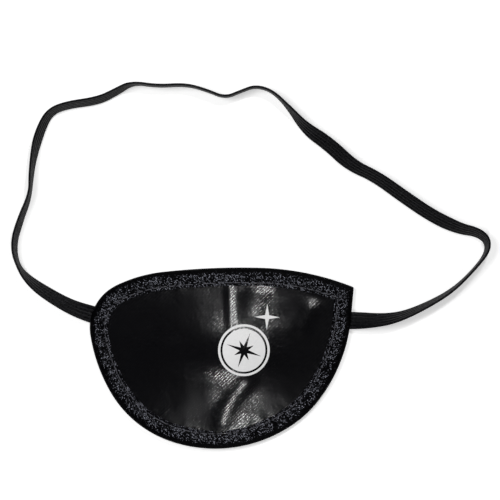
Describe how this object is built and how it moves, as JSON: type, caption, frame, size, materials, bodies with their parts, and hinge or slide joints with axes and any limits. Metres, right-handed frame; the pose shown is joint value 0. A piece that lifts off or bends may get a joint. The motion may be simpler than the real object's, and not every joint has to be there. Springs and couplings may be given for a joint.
{
  "type": "eye patch",
  "caption": "Soft domed cloth eye patch with a bound, stitched edge, a printed compass and a head strap of flat braided elastic, lying open.",
  "frame": {"origin": "middle of the patch's outline on the surface that it lies on; the free strap isn't counted", "axes": "+X across the patch towards its mitred corner, +Y to the brow edge, +Z out of the printed front"},
  "size_m": [0.1701, 0.1287, 0.0092],
  "materials": {
    "satin": "black satin with a slanting twill sheen",
    "binding_tape": "bias-cut woven tape, granular, slightly blue black",
    "lining_cloth": "matt black brushed cotton",
    "foam": "soft grey padding",
    "nonwoven": "moulded non-woven interlining",
    "thread": "twisted polyester thread",
    "elastic_braid": "ribbed braided elastic",
    "rubber_core": "round rubber strand",
    "print_ink": "off-white transfer print"
  },
  "bodies": {
    "patch": {"front_panel": "satin", "front_print": "print_ink", "stiffener": "nonwoven", "foam_pad": "foam", "back_lining": "lining_cloth", "edge_binding": "binding_tape", "front_stitching": "thread", "back_stitching": "thread", "strap_end_left": "elastic_braid", "strap_end_right": "elastic_braid"},
    "strap": {"strap_loop": "elastic_braid", "rubber_strands": "rubber_core"}
  },
  "joints": [
    {"name": "strap_swing", "type": "hinge", "parent": "patch", "child": "strap", "pos_m": [0, 0.014, 0.0013], "axis": [1, 0, 0], "range_deg": [-170, 170]}
  ]
}
